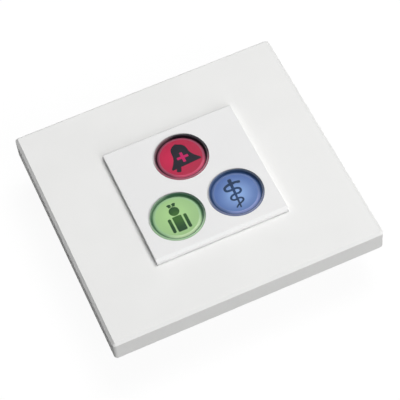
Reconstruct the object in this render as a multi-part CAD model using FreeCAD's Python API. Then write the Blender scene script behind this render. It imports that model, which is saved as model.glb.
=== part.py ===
"""Nurse call module: three lit push buttons in a square module, clipped to a wall frame under a flat cover.

Lengths are in millimetres. The origin lies in the wall plane, in the middle of the screw slots. +Z points out
of the wall, +Y up the wall and +X to the right, as a person in front of the unit sees it.
"""

import FreeCAD, Part

import os

# Cover plate
PLATE_WIDTH = 90.0
PLATE_HEIGHT = 84.0
PLATE_DEPTH = 8.0
PLATE_CORNER = 1.2
PLATE_BEVEL = 0.9
PLATE_WALL = 2.0
PLATE_FRONT = 2.2
PLATE_INNER_CORNER = 0.6
SKIRT_WALL = 1.2
RIB_WIDTH = 1.2
RIB_SPACING = 28.0
RIB_CLEARANCE = 0.4

# Mounting frame on the wall, and its slots for the screws of a wall box
FRAME_THICKNESS = 2.0
FRAME_CORNER = 1.2
FRAME_CLEARANCE = 0.5
FRAME_RIM_WIDTH = 1.4
FRAME_RIM_HEIGHT = 1.2
SLOT_SPACING = 60.0
SLOT_LENGTH = 8.0
SLOT_RADIUS = 2.1

# Snap hooks that hold the cover on the mounting frame
HOOK_X = 35.0
HOOK_Y = 27.0
HOOK_WIDTH = 8.0
HOOK_THICKNESS = 1.2
HOOK_BARB = 0.7
HOOK_BARB_HEIGHT = 1.4
HOOK_BITE = 0.35
HOOK_CLEARANCE = 0.3

# Front of the module
MODULE_SIZE = 44.3
MODULE_PROUD = 2.0
MODULE_GAP = 0.1
MODULE_BEVEL = 0.85
MODULE_CORNER = 0.5
MODULE_EDGE_ROUND = 0.2
MODULE_WALL = 1.5
MODULE_FACE = 2.0

# Tongues that clip the module into the mounting frame
TONGUE_WIDTH = 8.0
TONGUE_THICKNESS = 1.2
TONGUE_CLEARANCE = 0.2
TONGUE_BARB = 0.6
TONGUE_BARB_HEIGHT = 1.4
TONGUE_PLAY = 0.3

# Places of the buttons on the front, and the radius of their rings, as shares of the module's size
RED_HEIGHT_SHARE = 0.228
LOWER_DROP_SHARE = 0.22
LOWER_OFFSET_SHARE = 0.2257
BEZEL_SHARE = 0.2009

# Tinted ring round each button
BEZEL_WALL = 0.85
BEZEL_PROUD = 0.2
BEZEL_LIP_BEVEL = 0.3
BEZEL_CLEARANCE = 0.05
BEZEL_FLANGE = 0.45
BEZEL_SEAT_DEPTH = 4.0
BOSS_WALL = 0.95
BOSS_DEPTH = 6.8

# Button cap, which travels inside its ring
CAP_CLEARANCE = 0.2
CAP_SUNK = 0.7
CAP_THICKNESS = 1.8
CAP_SHOULDER_WIDTH = 0.8
CAP_SHOULDER_DROP = 0.6
CAP_WALL = 1.0
CAP_DEPTH = 6.0
CAP_TRAVEL = 1.0
LUG_COUNT = 3
LUG_WIDTH = 3.0
LUG_REACH = 0.85
LUG_THICKNESS = 1.0
LUG_PLAY = 0.3
GUIDE_RIB_WIDTH = 0.8
GUIDE_RIB_REACH = 1.25
GUIDE_RIB_CLEARANCE = 0.5

# Printed film and opal light guide inside the cap
FILM_THICKNESS = 0.25
FILM_CLEARANCE = 0.1
DIFFUSER_THICKNESS = 1.8
STEM_REACH = 1.8
STEM_RIB = 0.9

# Circuit board
BOARD_TOP = -1.0
BOARD_THICKNESS = 1.6
BOARD_CLEARANCE = 0.2
BOARD_CORNER = 1.0

# Switch under each button
SWITCH_SIZE = 6.2
SWITCH_HEIGHT = 3.5
SWITCH_LEAD_REACH = 0.7
SWITCH_LEAD_WIDTH = 0.7
SWITCH_LEAD_HEIGHT = 0.25
SWITCH_LEAD_SPACING = 3.2
PLUNGER_SIZE = 3.0
PLUNGER_CLEARANCE = 0.08
PLUNGER_HEIGHT = 3.6
COLLAR_SIZE = 4.0
COLLAR_HEIGHT = 0.7
COLLAR_PLAY = 0.3
CHAMBER_HEIGHT = 2.1
CHAMBER_FLOOR = 0.4

# Silicone boot over each switch
BOOT_SIZE = 10.0
BOOT_WALL = 0.45
BOOT_SKIRT = 3.3
BOOT_TIP_SIZE = 4.4
BOOT_TIP_THICKNESS = 0.4

# Lamps and other parts on the board
LED_LENGTH = 3.2
LED_WIDTH = 1.6
LED_HEIGHT = 1.9
LED_CLEARANCE = 0.5
LED_WALL = 0.3
LED_CUP_DEPTH = 0.5
RESISTOR_LENGTH = 2.0
RESISTOR_WIDTH = 1.25
RESISTOR_HEIGHT = 0.5
RESISTOR_OFFSET = 3.2
CHIP_PITCH = 1.27
CHIP_LEAD_WIDTH = 0.45
CHIP_LEAD_REACH = 1.0
CHIP_LEAD_THICKNESS = 0.25
CONTROLLER_SIZE = (7.5, 12.8, 2.3)
CONTROLLER_PLACE = (-8.5, -2.0)
CONTROLLER_LEAD_COUNT = 9
DRIVER_SIZE = (4.0, 5.0, 1.6)
DRIVER_PLACE = (3.5, -4.0)
DRIVER_LEAD_COUNT = 4
CAPACITOR_PLACE = (11.5, -3.0)
CAPACITOR_RADIUS = 3.15
CAPACITOR_HEIGHT = 5.4
CAPACITOR_BASE = 0.8
CAPACITOR_EDGE = 0.4

# Terminal block at the top edge of the board's back
TERMINAL_COUNT = 4
TERMINAL_PITCH = 5.0
TERMINAL_DEPTH = 8.0
TERMINAL_HEIGHT = 8.9
TERMINAL_CLEARANCE = 0.2
TERMINAL_WELL_SIZE = 3.6
TERMINAL_WELL_DEPTH = 3.6
TERMINAL_SCREW_RADIUS = 1.6
TERMINAL_SCREW_LENGTH = 2.1
TERMINAL_SLOT_WIDTH = 0.5
TERMINAL_SLOT_DEPTH = 0.6
WIRE_MOUTH_WIDTH = 3.2
WIRE_MOUTH_HEIGHT = 3.4
WIRE_MOUTH_OFFSET = 2.0
CLAMP_WALL = 0.4
CLAMP_CLEARANCE = 0.1
CLAMP_LENGTH = 3.4

# Rear housing, in the wall box
HOUSING_CLEARANCE = 0.3
HOUSING_WALL = 1.5
HOUSING_CORNER = 1.6
HOUSING_INNER_CORNER = 0.6
HOUSING_NEST = 1.0
HOUSING_BACK_EDGE = 0.8
HOUSING_FLOOR_CLEARANCE = 0.2

# Screws that clamp the housing and the board to posts on the module's front
POST_INSET = 3.55
LOWER_POST_INSET = 2.55
POST_SIZE = 4.0
PILLAR_SIZE = 5.6
SCREW_RADIUS = 1.1
SCREW_HEAD_RADIUS = 1.9
SCREW_HEAD_HEIGHT = 1.4
SCREW_LENGTH = 11.0
SCREW_PILOT_CLEARANCE = 0.04
SCREW_CLEARANCE = 0.2
SCREW_SEAT_DEPTH = 4.0
SCREW_SLOT_WIDTH = 0.6
SCREW_SLOT_DEPTH = 0.7
POST_SPARE_DEPTH = 0.6

# Levels and half widths that follow from the sizes above
MODULE_TOP = PLATE_DEPTH + MODULE_PROUD
MODULE_INNER = MODULE_SIZE / 2 - MODULE_WALL
WINDOW = MODULE_SIZE + 2 * MODULE_GAP
HOUSING_OUTER = MODULE_INNER - HOUSING_CLEARANCE
HOUSING_INNER = HOUSING_OUTER - HOUSING_WALL
RED_HEIGHT = RED_HEIGHT_SHARE * MODULE_SIZE
LOWER_DROP = LOWER_DROP_SHARE * MODULE_SIZE
LOWER_OFFSET = LOWER_OFFSET_SHARE * MODULE_SIZE
BEZEL_RADIUS = BEZEL_SHARE * MODULE_SIZE
POST_PLACE = HOUSING_INNER - POST_INSET
LED_OFFSET = BOOT_SIZE / 2 + LED_CLEARANCE + LED_WIDTH / 2
BOARD_HALF = HOUSING_INNER - BOARD_CLEARANCE
BOARD_BACK = BOARD_TOP - BOARD_THICKNESS
FRAME_WINDOW = 2 * MODULE_INNER
FRAME_WIDTH = PLATE_WIDTH - 2 * (PLATE_WALL + FRAME_CLEARANCE)
FRAME_HEIGHT = PLATE_HEIGHT - 2 * (PLATE_WALL + FRAME_CLEARANCE)
FRAME_RIM_TOP = FRAME_THICKNESS + FRAME_RIM_HEIGHT
TERMINAL_BACK = BOARD_BACK - TERMINAL_HEIGHT
HOUSING_FLOOR = TERMINAL_BACK - HOUSING_FLOOR_CLEARANCE
HOUSING_BACK = HOUSING_FLOOR - HOUSING_WALL
CAP_RADIUS = BEZEL_RADIUS - BEZEL_WALL - CAP_CLEARANCE
CAP_TOP = MODULE_TOP + BEZEL_PROUD - CAP_SUNK
CAP_BOTTOM = CAP_TOP - CAP_DEPTH
CAP_INNER = CAP_RADIUS - CAP_WALL
FILM_TOP = CAP_TOP - CAP_THICKNESS
FILM_RADIUS = CAP_INNER - FILM_CLEARANCE
DIFFUSER_TOP = FILM_TOP - FILM_THICKNESS
DIFFUSER_BOTTOM = DIFFUSER_TOP - DIFFUSER_THICKNESS
BEZEL_BOTTOM = CAP_BOTTOM + LUG_THICKNESS + LUG_PLAY
BEZEL_SEAT = MODULE_TOP - BEZEL_SEAT_DEPTH
SEAT_RADIUS = BEZEL_RADIUS + BEZEL_FLANGE + BEZEL_CLEARANCE
SWITCH_TOP = BOARD_TOP + SWITCH_HEIGHT
CHAMBER_BOTTOM = BOARD_TOP + CHAMBER_FLOOR
CHAMBER_TOP = CHAMBER_BOTTOM + CHAMBER_HEIGHT
PLUNGER_BOTTOM = CHAMBER_TOP - COLLAR_PLAY - COLLAR_HEIGHT
PLUNGER_TOP = PLUNGER_BOTTOM + PLUNGER_HEIGHT
BOOT_TOP = PLUNGER_TOP + BOOT_TIP_THICKNESS
PILLAR_SEAT = BOARD_BACK - SCREW_SEAT_DEPTH

BUTTONS = {
    "red": {"centre": (0.0, RED_HEIGHT), "lug_angle": 30.0},
    "green": {"centre": (-LOWER_OFFSET, -LOWER_DROP), "lug_angle": 90.0},
    "blue": {"centre": (LOWER_OFFSET, -LOWER_DROP), "lug_angle": 90.0},
}
POSTS = [(-POST_PLACE, POST_PLACE), (POST_PLACE, POST_PLACE), (0.0, LOWER_POST_INSET - HOUSING_INNER)]

UP = FreeCAD.Vector(0, 0, 1)
SAME_LEVEL = 1e-6


def block(x, y, z):
    """A box between the two values of each of x, y and z."""
    corner = FreeCAD.Vector(min(x), min(y), min(z))
    return Part.makeBox(abs(x[1] - x[0]), abs(y[1] - y[0]), abs(z[1] - z[0]), corner)


def middle_block(size, centre, z):
    """A box of size (along X, along Y) round a centre."""
    x, y = centre
    return block((x - size[0] / 2, x + size[0] / 2), (y - size[1] / 2, y + size[1] / 2), z)


def slab(size, corner, z):
    """A box round the origin whose upright edges are rounded."""
    box = middle_block(size, (0, 0), z)
    upright = [edge for edge in box.Edges if abs(edge.tangentAt(edge.FirstParameter).z) > 0.5]
    return box.makeFillet(corner, upright)


def rod(radius, centre, z):
    """An upright cylinder."""
    foot = FreeCAD.Vector(centre[0], centre[1], min(z))
    return Part.makeCylinder(radius, abs(z[1] - z[0]), foot, UP)


def turned(profile, centre):
    """A solid turned about an upright axis from a closed outline of (radius, height) points."""
    points = [FreeCAD.Vector(radius, 0, height) for radius, height in profile]
    face = Part.Face(Part.makePolygon(points + points[:1]))
    solid = face.revolve(FreeCAD.Vector(0, 0, 0), UP, 360)
    solid.translate(FreeCAD.Vector(centre[0], centre[1], 0))
    return solid


def prism_along_y(outline, y):
    """A solid pushed along Y from a closed outline of (x, z) points."""
    points = [FreeCAD.Vector(x, min(y), z) for x, z in outline]
    face = Part.Face(Part.makePolygon(points + points[:1]))
    return face.extrude(FreeCAD.Vector(0, abs(y[1] - y[0]), 0))


def prism_along_x(outline, x):
    """A solid pushed along X from a closed outline of (y, z) points."""
    points = [FreeCAD.Vector(min(x), y, z) for y, z in outline]
    face = Part.Face(Part.makePolygon(points + points[:1]))
    return face.extrude(FreeCAD.Vector(abs(x[1] - x[0]), 0, 0))


def four_sided(profile, centre):
    """A square solid from the (half width, level) points of one side, from its foot to its top."""
    outline = profile + [(-half, level) for half, level in reversed(profile)]
    reach = max(half for half, level in profile)
    solid = prism_along_y(outline, (-reach, reach)).common(prism_along_x(outline, (-reach, reach)))
    solid.translate(FreeCAD.Vector(centre[0], centre[1], 0))
    return solid


def edges_at(shape, height):
    """The edges that lie at one height."""
    return [
        edge
        for edge in shape.Edges
        if abs(edge.BoundBox.ZMin - height) < SAME_LEVEL and abs(edge.BoundBox.ZMax - height) < SAME_LEVEL
    ]


def turned_about(shape, centre, angle):
    """A copy turned about an upright axis."""
    copy = shape.copy()
    copy.rotate(FreeCAD.Vector(centre[0], centre[1], 0), UP, angle)
    return copy


def mirrored_x(shape):
    return shape.mirror(FreeCAD.Vector(0, 0, 0), FreeCAD.Vector(1, 0, 0))


def spread(count, pitch):
    """Places of count copies along a line, round its middle."""
    return [(index - (count - 1) / 2) * pitch for index in range(count)]


def slot_cutter(centre, along_x, z):
    """The cutter for one screw slot with round ends."""
    reach = SLOT_LENGTH / 2 - SLOT_RADIUS
    step = (reach, 0) if along_x else (0, reach)
    ends = [(centre[0] + sign * step[0], centre[1] + sign * step[1]) for sign in (-1, 1)]
    length = 2 * reach
    size = (length, 2 * SLOT_RADIUS) if along_x else (2 * SLOT_RADIUS, length)
    cutter = middle_block(size, centre, z)
    return cutter.fuse([rod(SLOT_RADIUS, end, z) for end in ends]).removeSplitter()


def cover_hook(side_x, y):
    """A springy arm under the cover's front; its barb points to the middle and grips below a frame lug."""
    inner = HOOK_X + HOOK_THICKNESS + HOOK_BARB + HOOK_CLEARANCE
    tip = inner - HOOK_BARB
    root = PLATE_DEPTH - PLATE_FRONT
    foot = FRAME_THICKNESS + HOOK_CLEARANCE
    outline = [
        (inner, root),
        (inner, foot + HOOK_BARB_HEIGHT),
        (tip, foot + HOOK_BARB_HEIGHT - HOOK_BARB / 2),
        (tip, foot + HOOK_BARB / 2),
        (inner, foot),
        (inner + HOOK_THICKNESS, foot),
        (inner + HOOK_THICKNESS, root),
    ]
    arm = prism_along_y(outline, (y - HOOK_WIDTH / 2, y + HOOK_WIDTH / 2))
    return arm if side_x > 0 else mirrored_x(arm)


def frame_lug(side_x, y):
    """An upright lug on the mounting frame; its barb points outwards over the barb of a cover hook."""
    grip = FRAME_THICKNESS + 2 * HOOK_CLEARANCE + HOOK_BARB_HEIGHT
    outer = HOOK_X + HOOK_THICKNESS
    tip = outer + HOOK_CLEARANCE + HOOK_BITE
    top = grip + HOOK_BARB
    outline = [
        (HOOK_X, FRAME_THICKNESS),
        (HOOK_X, top),
        (outer, top),
        (tip, top - HOOK_BARB / 2),
        (tip, grip),
        (outer, grip - HOOK_BARB / 2),
        (outer, FRAME_THICKNESS),
    ]
    lug = prism_along_y(outline, (y - HOOK_WIDTH / 2, y + HOOK_WIDTH / 2))
    return lug if side_x > 0 else mirrored_x(lug)


def cover_ribs():
    """Stiffening ribs between the window's skirt and the outer walls."""
    skirt = WINDOW / 2 + SKIRT_WALL / 2
    z = (FRAME_RIM_TOP + RIB_CLEARANCE, PLATE_DEPTH - PLATE_FRONT)
    ribs = []
    for sign in (-1, 1):
        for offset in (-RIB_SPACING / 2, RIB_SPACING / 2):
            across = (offset - RIB_WIDTH / 2, offset + RIB_WIDTH / 2)
            ribs.append(block((sign * skirt, sign * (PLATE_WIDTH - PLATE_WALL) / 2), across, z))
            ribs.append(block(across, (sign * skirt, sign * (PLATE_HEIGHT - PLATE_WALL) / 2), z))
    return ribs


def cover_frame():
    """The flat cover plate: a shell with a bevelled front edge, a square window, ribs and snap hooks."""
    outer = slab((PLATE_WIDTH, PLATE_HEIGHT), PLATE_CORNER, (0, PLATE_DEPTH))
    outer = outer.makeChamfer(PLATE_BEVEL, edges_at(outer, PLATE_DEPTH))
    ceiling = PLATE_DEPTH - PLATE_FRONT
    hollow_size = (PLATE_WIDTH - 2 * PLATE_WALL, PLATE_HEIGHT - 2 * PLATE_WALL)
    shell = outer.cut(slab(hollow_size, PLATE_INNER_CORNER, (0, ceiling)))
    skirt_size = (WINDOW + 2 * SKIRT_WALL, WINDOW + 2 * SKIRT_WALL)
    skirt = middle_block(skirt_size, (0, 0), (FRAME_THICKNESS, ceiling))
    hooks = [cover_hook(side, sign * HOOK_Y) for side in (-1, 1) for sign in (-1, 1)]
    shell = shell.fuse([skirt] + cover_ribs() + hooks)
    window = middle_block((WINDOW, WINDOW), (0, 0), (0, PLATE_DEPTH))
    return shell.cut(window).removeSplitter()


def tongue_notches():
    """Cutters that let the module's tongues through the mounting frame."""
    inner = MODULE_INNER - TONGUE_CLEARANCE
    outer = MODULE_INNER + TONGUE_THICKNESS + 2 * TONGUE_CLEARANCE
    half = TONGUE_WIDTH / 2 + TONGUE_CLEARANCE
    return [
        block((side * inner, side * outer), (-half, half), (0, FRAME_THICKNESS)) for side in (-1, 1)
    ]


def mounting_frame():
    """The frame that is screwed to the wall box: slots for the screws, a stiff rim and lugs for the cover."""
    plate = slab((FRAME_WIDTH, FRAME_HEIGHT), FRAME_CORNER, (0, FRAME_THICKNESS))
    rim = slab((FRAME_WIDTH, FRAME_HEIGHT), FRAME_CORNER, (FRAME_THICKNESS, FRAME_RIM_TOP))
    rim_inner = (FRAME_WIDTH - 2 * FRAME_RIM_WIDTH, FRAME_HEIGHT - 2 * FRAME_RIM_WIDTH)
    rim = rim.cut(middle_block(rim_inner, (0, 0), (FRAME_THICKNESS, FRAME_RIM_TOP)))
    lugs = [frame_lug(side, sign * HOOK_Y) for side in (-1, 1) for sign in (-1, 1)]
    plate = plate.fuse([rim] + lugs)
    z = (0, FRAME_THICKNESS)
    window = middle_block((FRAME_WINDOW, FRAME_WINDOW), (0, 0), z)
    slots = []
    for sign in (-1, 1):
        slots.append(slot_cutter((sign * SLOT_SPACING / 2, 0), True, z))
        slots.append(slot_cutter((0, sign * SLOT_SPACING / 2), False, z))
    return plate.cut([window] + slots + tongue_notches()).removeSplitter()


def module_tongue():
    """The clip on the right of the module; its barb snaps behind the mounting frame."""
    inner = MODULE_INNER
    outer = inner + TONGUE_THICKNESS
    barb_top = -TONGUE_PLAY
    barb_foot = barb_top - TONGUE_BARB_HEIGHT
    tip = outer + 2 * TONGUE_CLEARANCE + TONGUE_BARB
    outline = [
        (inner, FRAME_THICKNESS),
        (inner, barb_foot),
        (outer, barb_foot),
        (tip, barb_top - TONGUE_BARB / 2),
        (tip, barb_top),
        (outer, barb_top),
        (outer, FRAME_THICKNESS),
    ]
    return prism_along_y(outline, (-TONGUE_WIDTH / 2, TONGUE_WIDTH / 2))


def fascia_block():
    """The front's outer form: bevelled along its top and bottom edges, with straight sides."""
    half = MODULE_SIZE / 2
    outline = [
        (-half, FRAME_THICKNESS),
        (-half, MODULE_TOP - MODULE_BEVEL),
        (MODULE_BEVEL - half, MODULE_TOP),
        (half - MODULE_BEVEL, MODULE_TOP),
        (half, MODULE_TOP - MODULE_BEVEL),
        (half, FRAME_THICKNESS),
    ]
    body = prism_along_x(outline, (-half, half))
    body = body.common(slab((MODULE_SIZE, MODULE_SIZE), MODULE_CORNER, (FRAME_THICKNESS, MODULE_TOP)))
    return body.makeFillet(MODULE_EDGE_ROUND, edges_at(body, MODULE_TOP))


def lug_places(button):
    """Angles of the lugs of one cap."""
    return [button["lug_angle"] + index * 360 / LUG_COUNT for index in range(LUG_COUNT)]


def lug_guides(button):
    """Two ribs in a boss, between which the cap's first lug slides so that the cap can't turn."""
    x, y = button["centre"]
    near = LUG_WIDTH / 2 + GUIDE_RIB_CLEARANCE
    z = (MODULE_TOP - BOSS_DEPTH, BEZEL_BOTTOM)
    reach = (x + SEAT_RADIUS - GUIDE_RIB_REACH, x + SEAT_RADIUS + BOSS_WALL / 2)
    guides = []
    for side in (-1, 1):
        across = (y + side * near, y + side * (near + GUIDE_RIB_WIDTH))
        guides.append(turned_about(block(reach, across, z), (x, y), button["lug_angle"]))
    return guides


def module_fascia():
    """The module's front: a box with three bosses for the rings, three screw posts and two clips."""
    ceiling = MODULE_TOP - MODULE_FACE
    body = fascia_block()
    body = body.cut(middle_block((2 * MODULE_INNER, 2 * MODULE_INNER), (0, 0), (FRAME_THICKNESS, ceiling)))
    boss_foot = MODULE_TOP - BOSS_DEPTH
    bosses = [rod(SEAT_RADIUS + BOSS_WALL, b["centre"], (boss_foot, ceiling)) for b in BUTTONS.values()]
    posts = [middle_block((POST_SIZE, POST_SIZE), place, (BOARD_TOP, ceiling)) for place in POSTS]
    tongue = module_tongue()
    body = body.fuse(bosses + posts + [tongue, mirrored_x(tongue)])
    cutters = []
    for button in BUTTONS.values():
        cutters.append(rod(BEZEL_RADIUS + BEZEL_CLEARANCE, button["centre"], (boss_foot, MODULE_TOP)))
        cutters.append(rod(SEAT_RADIUS, button["centre"], (boss_foot, BEZEL_SEAT)))
    pilot_top = PILLAR_SEAT + SCREW_LENGTH + POST_SPARE_DEPTH
    for place in POSTS:
        cutters.append(rod(SCREW_RADIUS + SCREW_PILOT_CLEARANCE, place, (BOARD_TOP, pilot_top)))
    body = body.cut(cutters)
    guides = [guide for button in BUTTONS.values() for guide in lug_guides(button)]
    return body.fuse(guides).removeSplitter()


def bezel(button):
    """A clear ring, bevelled outside; its flange seats behind the fascia."""
    inner = BEZEL_RADIUS - BEZEL_WALL
    flange = BEZEL_RADIUS + BEZEL_FLANGE
    top = MODULE_TOP + BEZEL_PROUD
    outline = [
        (inner, BEZEL_BOTTOM),
        (inner, top),
        (BEZEL_RADIUS - BEZEL_LIP_BEVEL, top),
        (BEZEL_RADIUS, top - BEZEL_LIP_BEVEL),
        (BEZEL_RADIUS, BEZEL_SEAT),
        (flange, BEZEL_SEAT),
        (flange, BEZEL_BOTTOM),
    ]
    return turned(outline, button["centre"])


def button_cap(button):
    """A tinted cap with a shoulder round its face, a skirt round the light guide, and three lugs."""
    outline = [
        (0, CAP_TOP),
        (CAP_RADIUS - CAP_SHOULDER_WIDTH, CAP_TOP),
        (CAP_RADIUS - CAP_SHOULDER_WIDTH / 3, CAP_TOP - CAP_SHOULDER_DROP / 3),
        (CAP_RADIUS, CAP_TOP - CAP_SHOULDER_DROP),
        (CAP_RADIUS, CAP_BOTTOM),
        (CAP_INNER, CAP_BOTTOM),
        (CAP_INNER, FILM_TOP),
        (0, FILM_TOP),
    ]
    cap = turned(outline, button["centre"])
    x, y = button["centre"]
    reach = (x + CAP_RADIUS - CAP_WALL / 2, x + CAP_RADIUS + LUG_REACH)
    across = (y - LUG_WIDTH / 2, y + LUG_WIDTH / 2)
    lug = block(reach, across, (CAP_BOTTOM, CAP_BOTTOM + LUG_THICKNESS))
    return cap.fuse([turned_about(lug, (x, y), angle) for angle in lug_places(button)]).removeSplitter()


def legend(button):
    """The printed film disc under the cap."""
    return rod(FILM_RADIUS, button["centre"], (DIFFUSER_TOP, FILM_TOP))


def light_guide(button):
    """The opal disc that spreads the light, and the cross-shaped stem that pushes the boot and the plunger."""
    centre = button["centre"]
    disc = rod(FILM_RADIUS, centre, (DIFFUSER_BOTTOM, DIFFUSER_TOP))
    z = (BOOT_TOP, DIFFUSER_BOTTOM)
    ribs = [
        middle_block((2 * STEM_REACH, STEM_RIB), centre, z),
        middle_block((STEM_RIB, 2 * STEM_REACH), centre, z),
    ]
    return disc.fuse(ribs).removeSplitter()


def boot(button):
    """The silicone boot: a square skirt on the board, four springy slopes and a closed tip on the plunger."""
    half = BOOT_SIZE / 2
    tip = BOOT_TIP_SIZE / 2
    shoulder = BOARD_TOP + BOOT_SKIRT
    outer = four_sided([(half, BOARD_TOP), (half, shoulder), (tip, BOOT_TOP)], button["centre"])
    inner = [
        (half - BOOT_WALL, BOARD_TOP),
        (half - BOOT_WALL, shoulder - BOOT_WALL / 2),
        (tip - BOOT_WALL / 2, PLUNGER_TOP),
    ]
    return outer.cut(four_sided(inner, button["centre"]))


def plunger(button):
    """The switch's square plunger, with the collar that keeps it in."""
    centre = button["centre"]
    collar_top = PLUNGER_BOTTOM + COLLAR_HEIGHT
    collar = middle_block((COLLAR_SIZE, COLLAR_SIZE), centre, (PLUNGER_BOTTOM, collar_top))
    return collar.fuse(middle_block((PLUNGER_SIZE, PLUNGER_SIZE), centre, (collar_top, PLUNGER_TOP)))


def switch(button):
    """The body of the switch: a square case with a chamber, a bore and four flat leads."""
    x, y = button["centre"]
    case = middle_block((SWITCH_SIZE, SWITCH_SIZE), (x, y), (BOARD_TOP, SWITCH_TOP))
    lead_size = (SWITCH_SIZE + 2 * SWITCH_LEAD_REACH, SWITCH_LEAD_WIDTH)
    lead_z = (BOARD_TOP, BOARD_TOP + SWITCH_LEAD_HEIGHT)
    rows = [y + offset for offset in spread(2, SWITCH_LEAD_SPACING)]
    case = case.fuse([middle_block(lead_size, (x, row), lead_z) for row in rows])
    chamber_size = COLLAR_SIZE + 2 * PLUNGER_CLEARANCE
    bore_size = PLUNGER_SIZE + 2 * PLUNGER_CLEARANCE
    chamber = middle_block((chamber_size, chamber_size), (x, y), (CHAMBER_BOTTOM, CHAMBER_TOP))
    bore = middle_block((bore_size, bore_size), (x, y), (CHAMBER_TOP, SWITCH_TOP))
    return case.cut([chamber, bore]).removeSplitter()


def leds(button):
    """The two lamps of a button, one each side of its switch."""
    x, y = button["centre"]
    top = BOARD_TOP + LED_HEIGHT
    lamps = []
    for side in (-1, 1):
        centre = (x + side * LED_OFFSET, y)
        body = middle_block((LED_WIDTH, LED_LENGTH), centre, (BOARD_TOP, top))
        cup_size = (LED_WIDTH - 2 * LED_WALL, LED_LENGTH - 2 * LED_WALL)
        lamps.append(body.cut(middle_block(cup_size, centre, (top - LED_CUP_DEPTH, top))))
    return Part.makeCompound(lamps)


def resistors():
    """One resistor beside each lamp."""
    chips = []
    for button in BUTTONS.values():
        x, y = button["centre"]
        for side in (-1, 1):
            centre = (x + side * LED_OFFSET, y + RESISTOR_OFFSET)
            size = (RESISTOR_WIDTH, RESISTOR_LENGTH)
            chips.append(middle_block(size, centre, (BOARD_TOP, BOARD_TOP + RESISTOR_HEIGHT)))
    return Part.makeCompound(chips)


def main_board():
    """The circuit board, with holes for the housing screws."""
    z = (BOARD_BACK, BOARD_TOP)
    board = slab((2 * BOARD_HALF, 2 * BOARD_HALF), BOARD_CORNER, z)
    return board.cut([rod(SCREW_RADIUS + SCREW_CLEARANCE, place, z) for place in POSTS])


def chip(size, centre, leads):
    """A chip under the board, with a row of flat leads along each side."""
    width, length, height = size
    body = middle_block((width, length), centre, (BOARD_BACK, BOARD_BACK - height))
    lead_size = (width + 2 * CHIP_LEAD_REACH, CHIP_LEAD_WIDTH)
    z = (BOARD_BACK, BOARD_BACK - CHIP_LEAD_THICKNESS)
    rows = [centre[1] + offset for offset in spread(leads, CHIP_PITCH)]
    return body.fuse([middle_block(lead_size, (centre[0], row), z) for row in rows]).removeSplitter()


def smoothing_capacitor():
    """A can on a square foot, under the board."""
    foot_z = (BOARD_BACK, BOARD_BACK - CAPACITOR_BASE)
    foot_size = (2 * CAPACITOR_RADIUS, 2 * CAPACITOR_RADIUS)
    foot = middle_block(foot_size, CAPACITOR_PLACE, foot_z)
    end = BOARD_BACK - CAPACITOR_HEIGHT
    can = rod(CAPACITOR_RADIUS, CAPACITOR_PLACE, (foot_z[1], end))
    can = can.makeChamfer(CAPACITOR_EDGE, edges_at(can, end))
    return foot.fuse(can).removeSplitter()


def terminal_middle():
    """The middle of the terminal block along Y: it stands against the board's top edge."""
    return BOARD_HALF - TERMINAL_DEPTH / 2


def wire_mouths(y, clearance):
    """Cutters for the wire mouths, which face up the wall."""
    middle = BOARD_BACK - WIRE_MOUTH_OFFSET - WIRE_MOUTH_HEIGHT / 2
    half = WIRE_MOUTH_HEIGHT / 2 + clearance
    size_x = WIRE_MOUTH_WIDTH + 2 * clearance
    return [
        block((x - size_x / 2, x + size_x / 2), y, (middle - half, middle + half))
        for x in spread(TERMINAL_COUNT, TERMINAL_PITCH)
    ]


def clamp_room():
    """How far the wire mouths and cages reach into the terminal block, along Y."""
    middle = terminal_middle()
    return (middle - CLAMP_LENGTH / 2 - CLAMP_CLEARANCE, middle + TERMINAL_DEPTH / 2)


def terminal_block():
    """A block of screw terminals: a mouth and a screw well for each wire."""
    width = TERMINAL_COUNT * TERMINAL_PITCH
    body = middle_block((width, TERMINAL_DEPTH), (0, terminal_middle()), (BOARD_BACK, TERMINAL_BACK))
    floor = TERMINAL_BACK + TERMINAL_WELL_DEPTH
    wells = [
        middle_block((TERMINAL_WELL_SIZE, TERMINAL_WELL_SIZE), (x, terminal_middle()), (TERMINAL_BACK, floor))
        for x in spread(TERMINAL_COUNT, TERMINAL_PITCH)
    ]
    return body.cut(wells + wire_mouths(clamp_room(), 0)).removeSplitter()


def terminal_clamps():
    """The metal cages round the wires."""
    middle = terminal_middle()
    z_middle = BOARD_BACK - WIRE_MOUTH_OFFSET - WIRE_MOUTH_HEIGHT / 2
    half_x = WIRE_MOUTH_WIDTH / 2 - CLAMP_CLEARANCE
    half_z = WIRE_MOUTH_HEIGHT / 2 - CLAMP_CLEARANCE
    y = (middle - CLAMP_LENGTH / 2, middle + CLAMP_LENGTH / 2)
    cages = []
    for x in spread(TERMINAL_COUNT, TERMINAL_PITCH):
        outer = block((x - half_x, x + half_x), y, (z_middle - half_z, z_middle + half_z))
        inner_x = (x - half_x + CLAMP_WALL, x + half_x - CLAMP_WALL)
        inner_z = (z_middle - half_z + CLAMP_WALL, z_middle + half_z - CLAMP_WALL)
        cages.append(outer.cut(block(inner_x, y, inner_z)))
    return Part.makeCompound(cages)


def slotted(screw, centre, radius, face, slot):
    """A screw with a driver's slot of (width, depth) in the end that faces the wall box."""
    return screw.cut(middle_block((2 * radius, slot[0]), centre, (face, face + slot[1])))


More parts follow.
